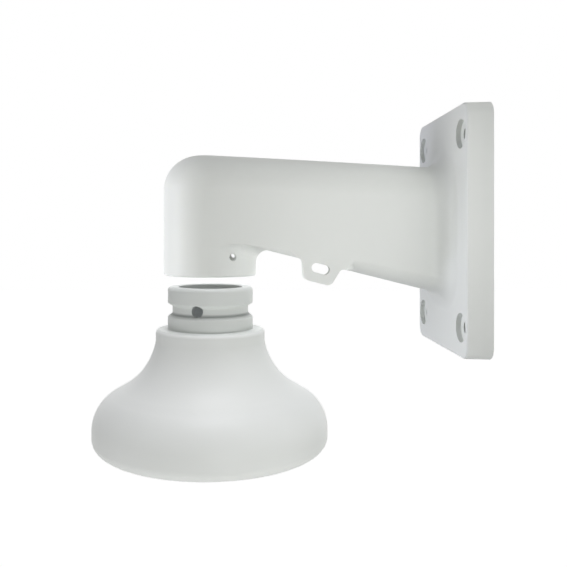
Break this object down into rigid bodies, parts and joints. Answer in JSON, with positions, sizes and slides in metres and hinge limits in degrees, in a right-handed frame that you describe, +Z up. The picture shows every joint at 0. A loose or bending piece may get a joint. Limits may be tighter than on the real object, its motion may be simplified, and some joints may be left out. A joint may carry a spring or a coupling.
{
  "type": "camera wall bracket",
  "caption": "Hollow cast wall arm with a downward outlet, and a bell-shaped hanging cap whose grooved neck fits into it to carry a dome camera.",
  "frame": {"origin": "middle of the wall plate's back face, which is also the middle of its four wall screws", "axes": "+X into the wall, +Z up; the arm reaches out along -X and the rope lug is on the -Y side"},
  "size_m": [0.2397, 0.1506, 0.2121],
  "materials": {
    "powder_coat": "off-white powder coat on cast aluminium"
  },
  "bodies": {
    "wall_arm": {"wall_arm": "powder_coat"},
    "hanging_cap": {"hanging_cap": "powder_coat"}
  },
  "joints": [
    {"name": "cap_draw", "type": "slide", "parent": "wall_arm", "child": "hanging_cap", "axis": [0, 0, 1], "range_m": [0, 0.034]}
  ]
}
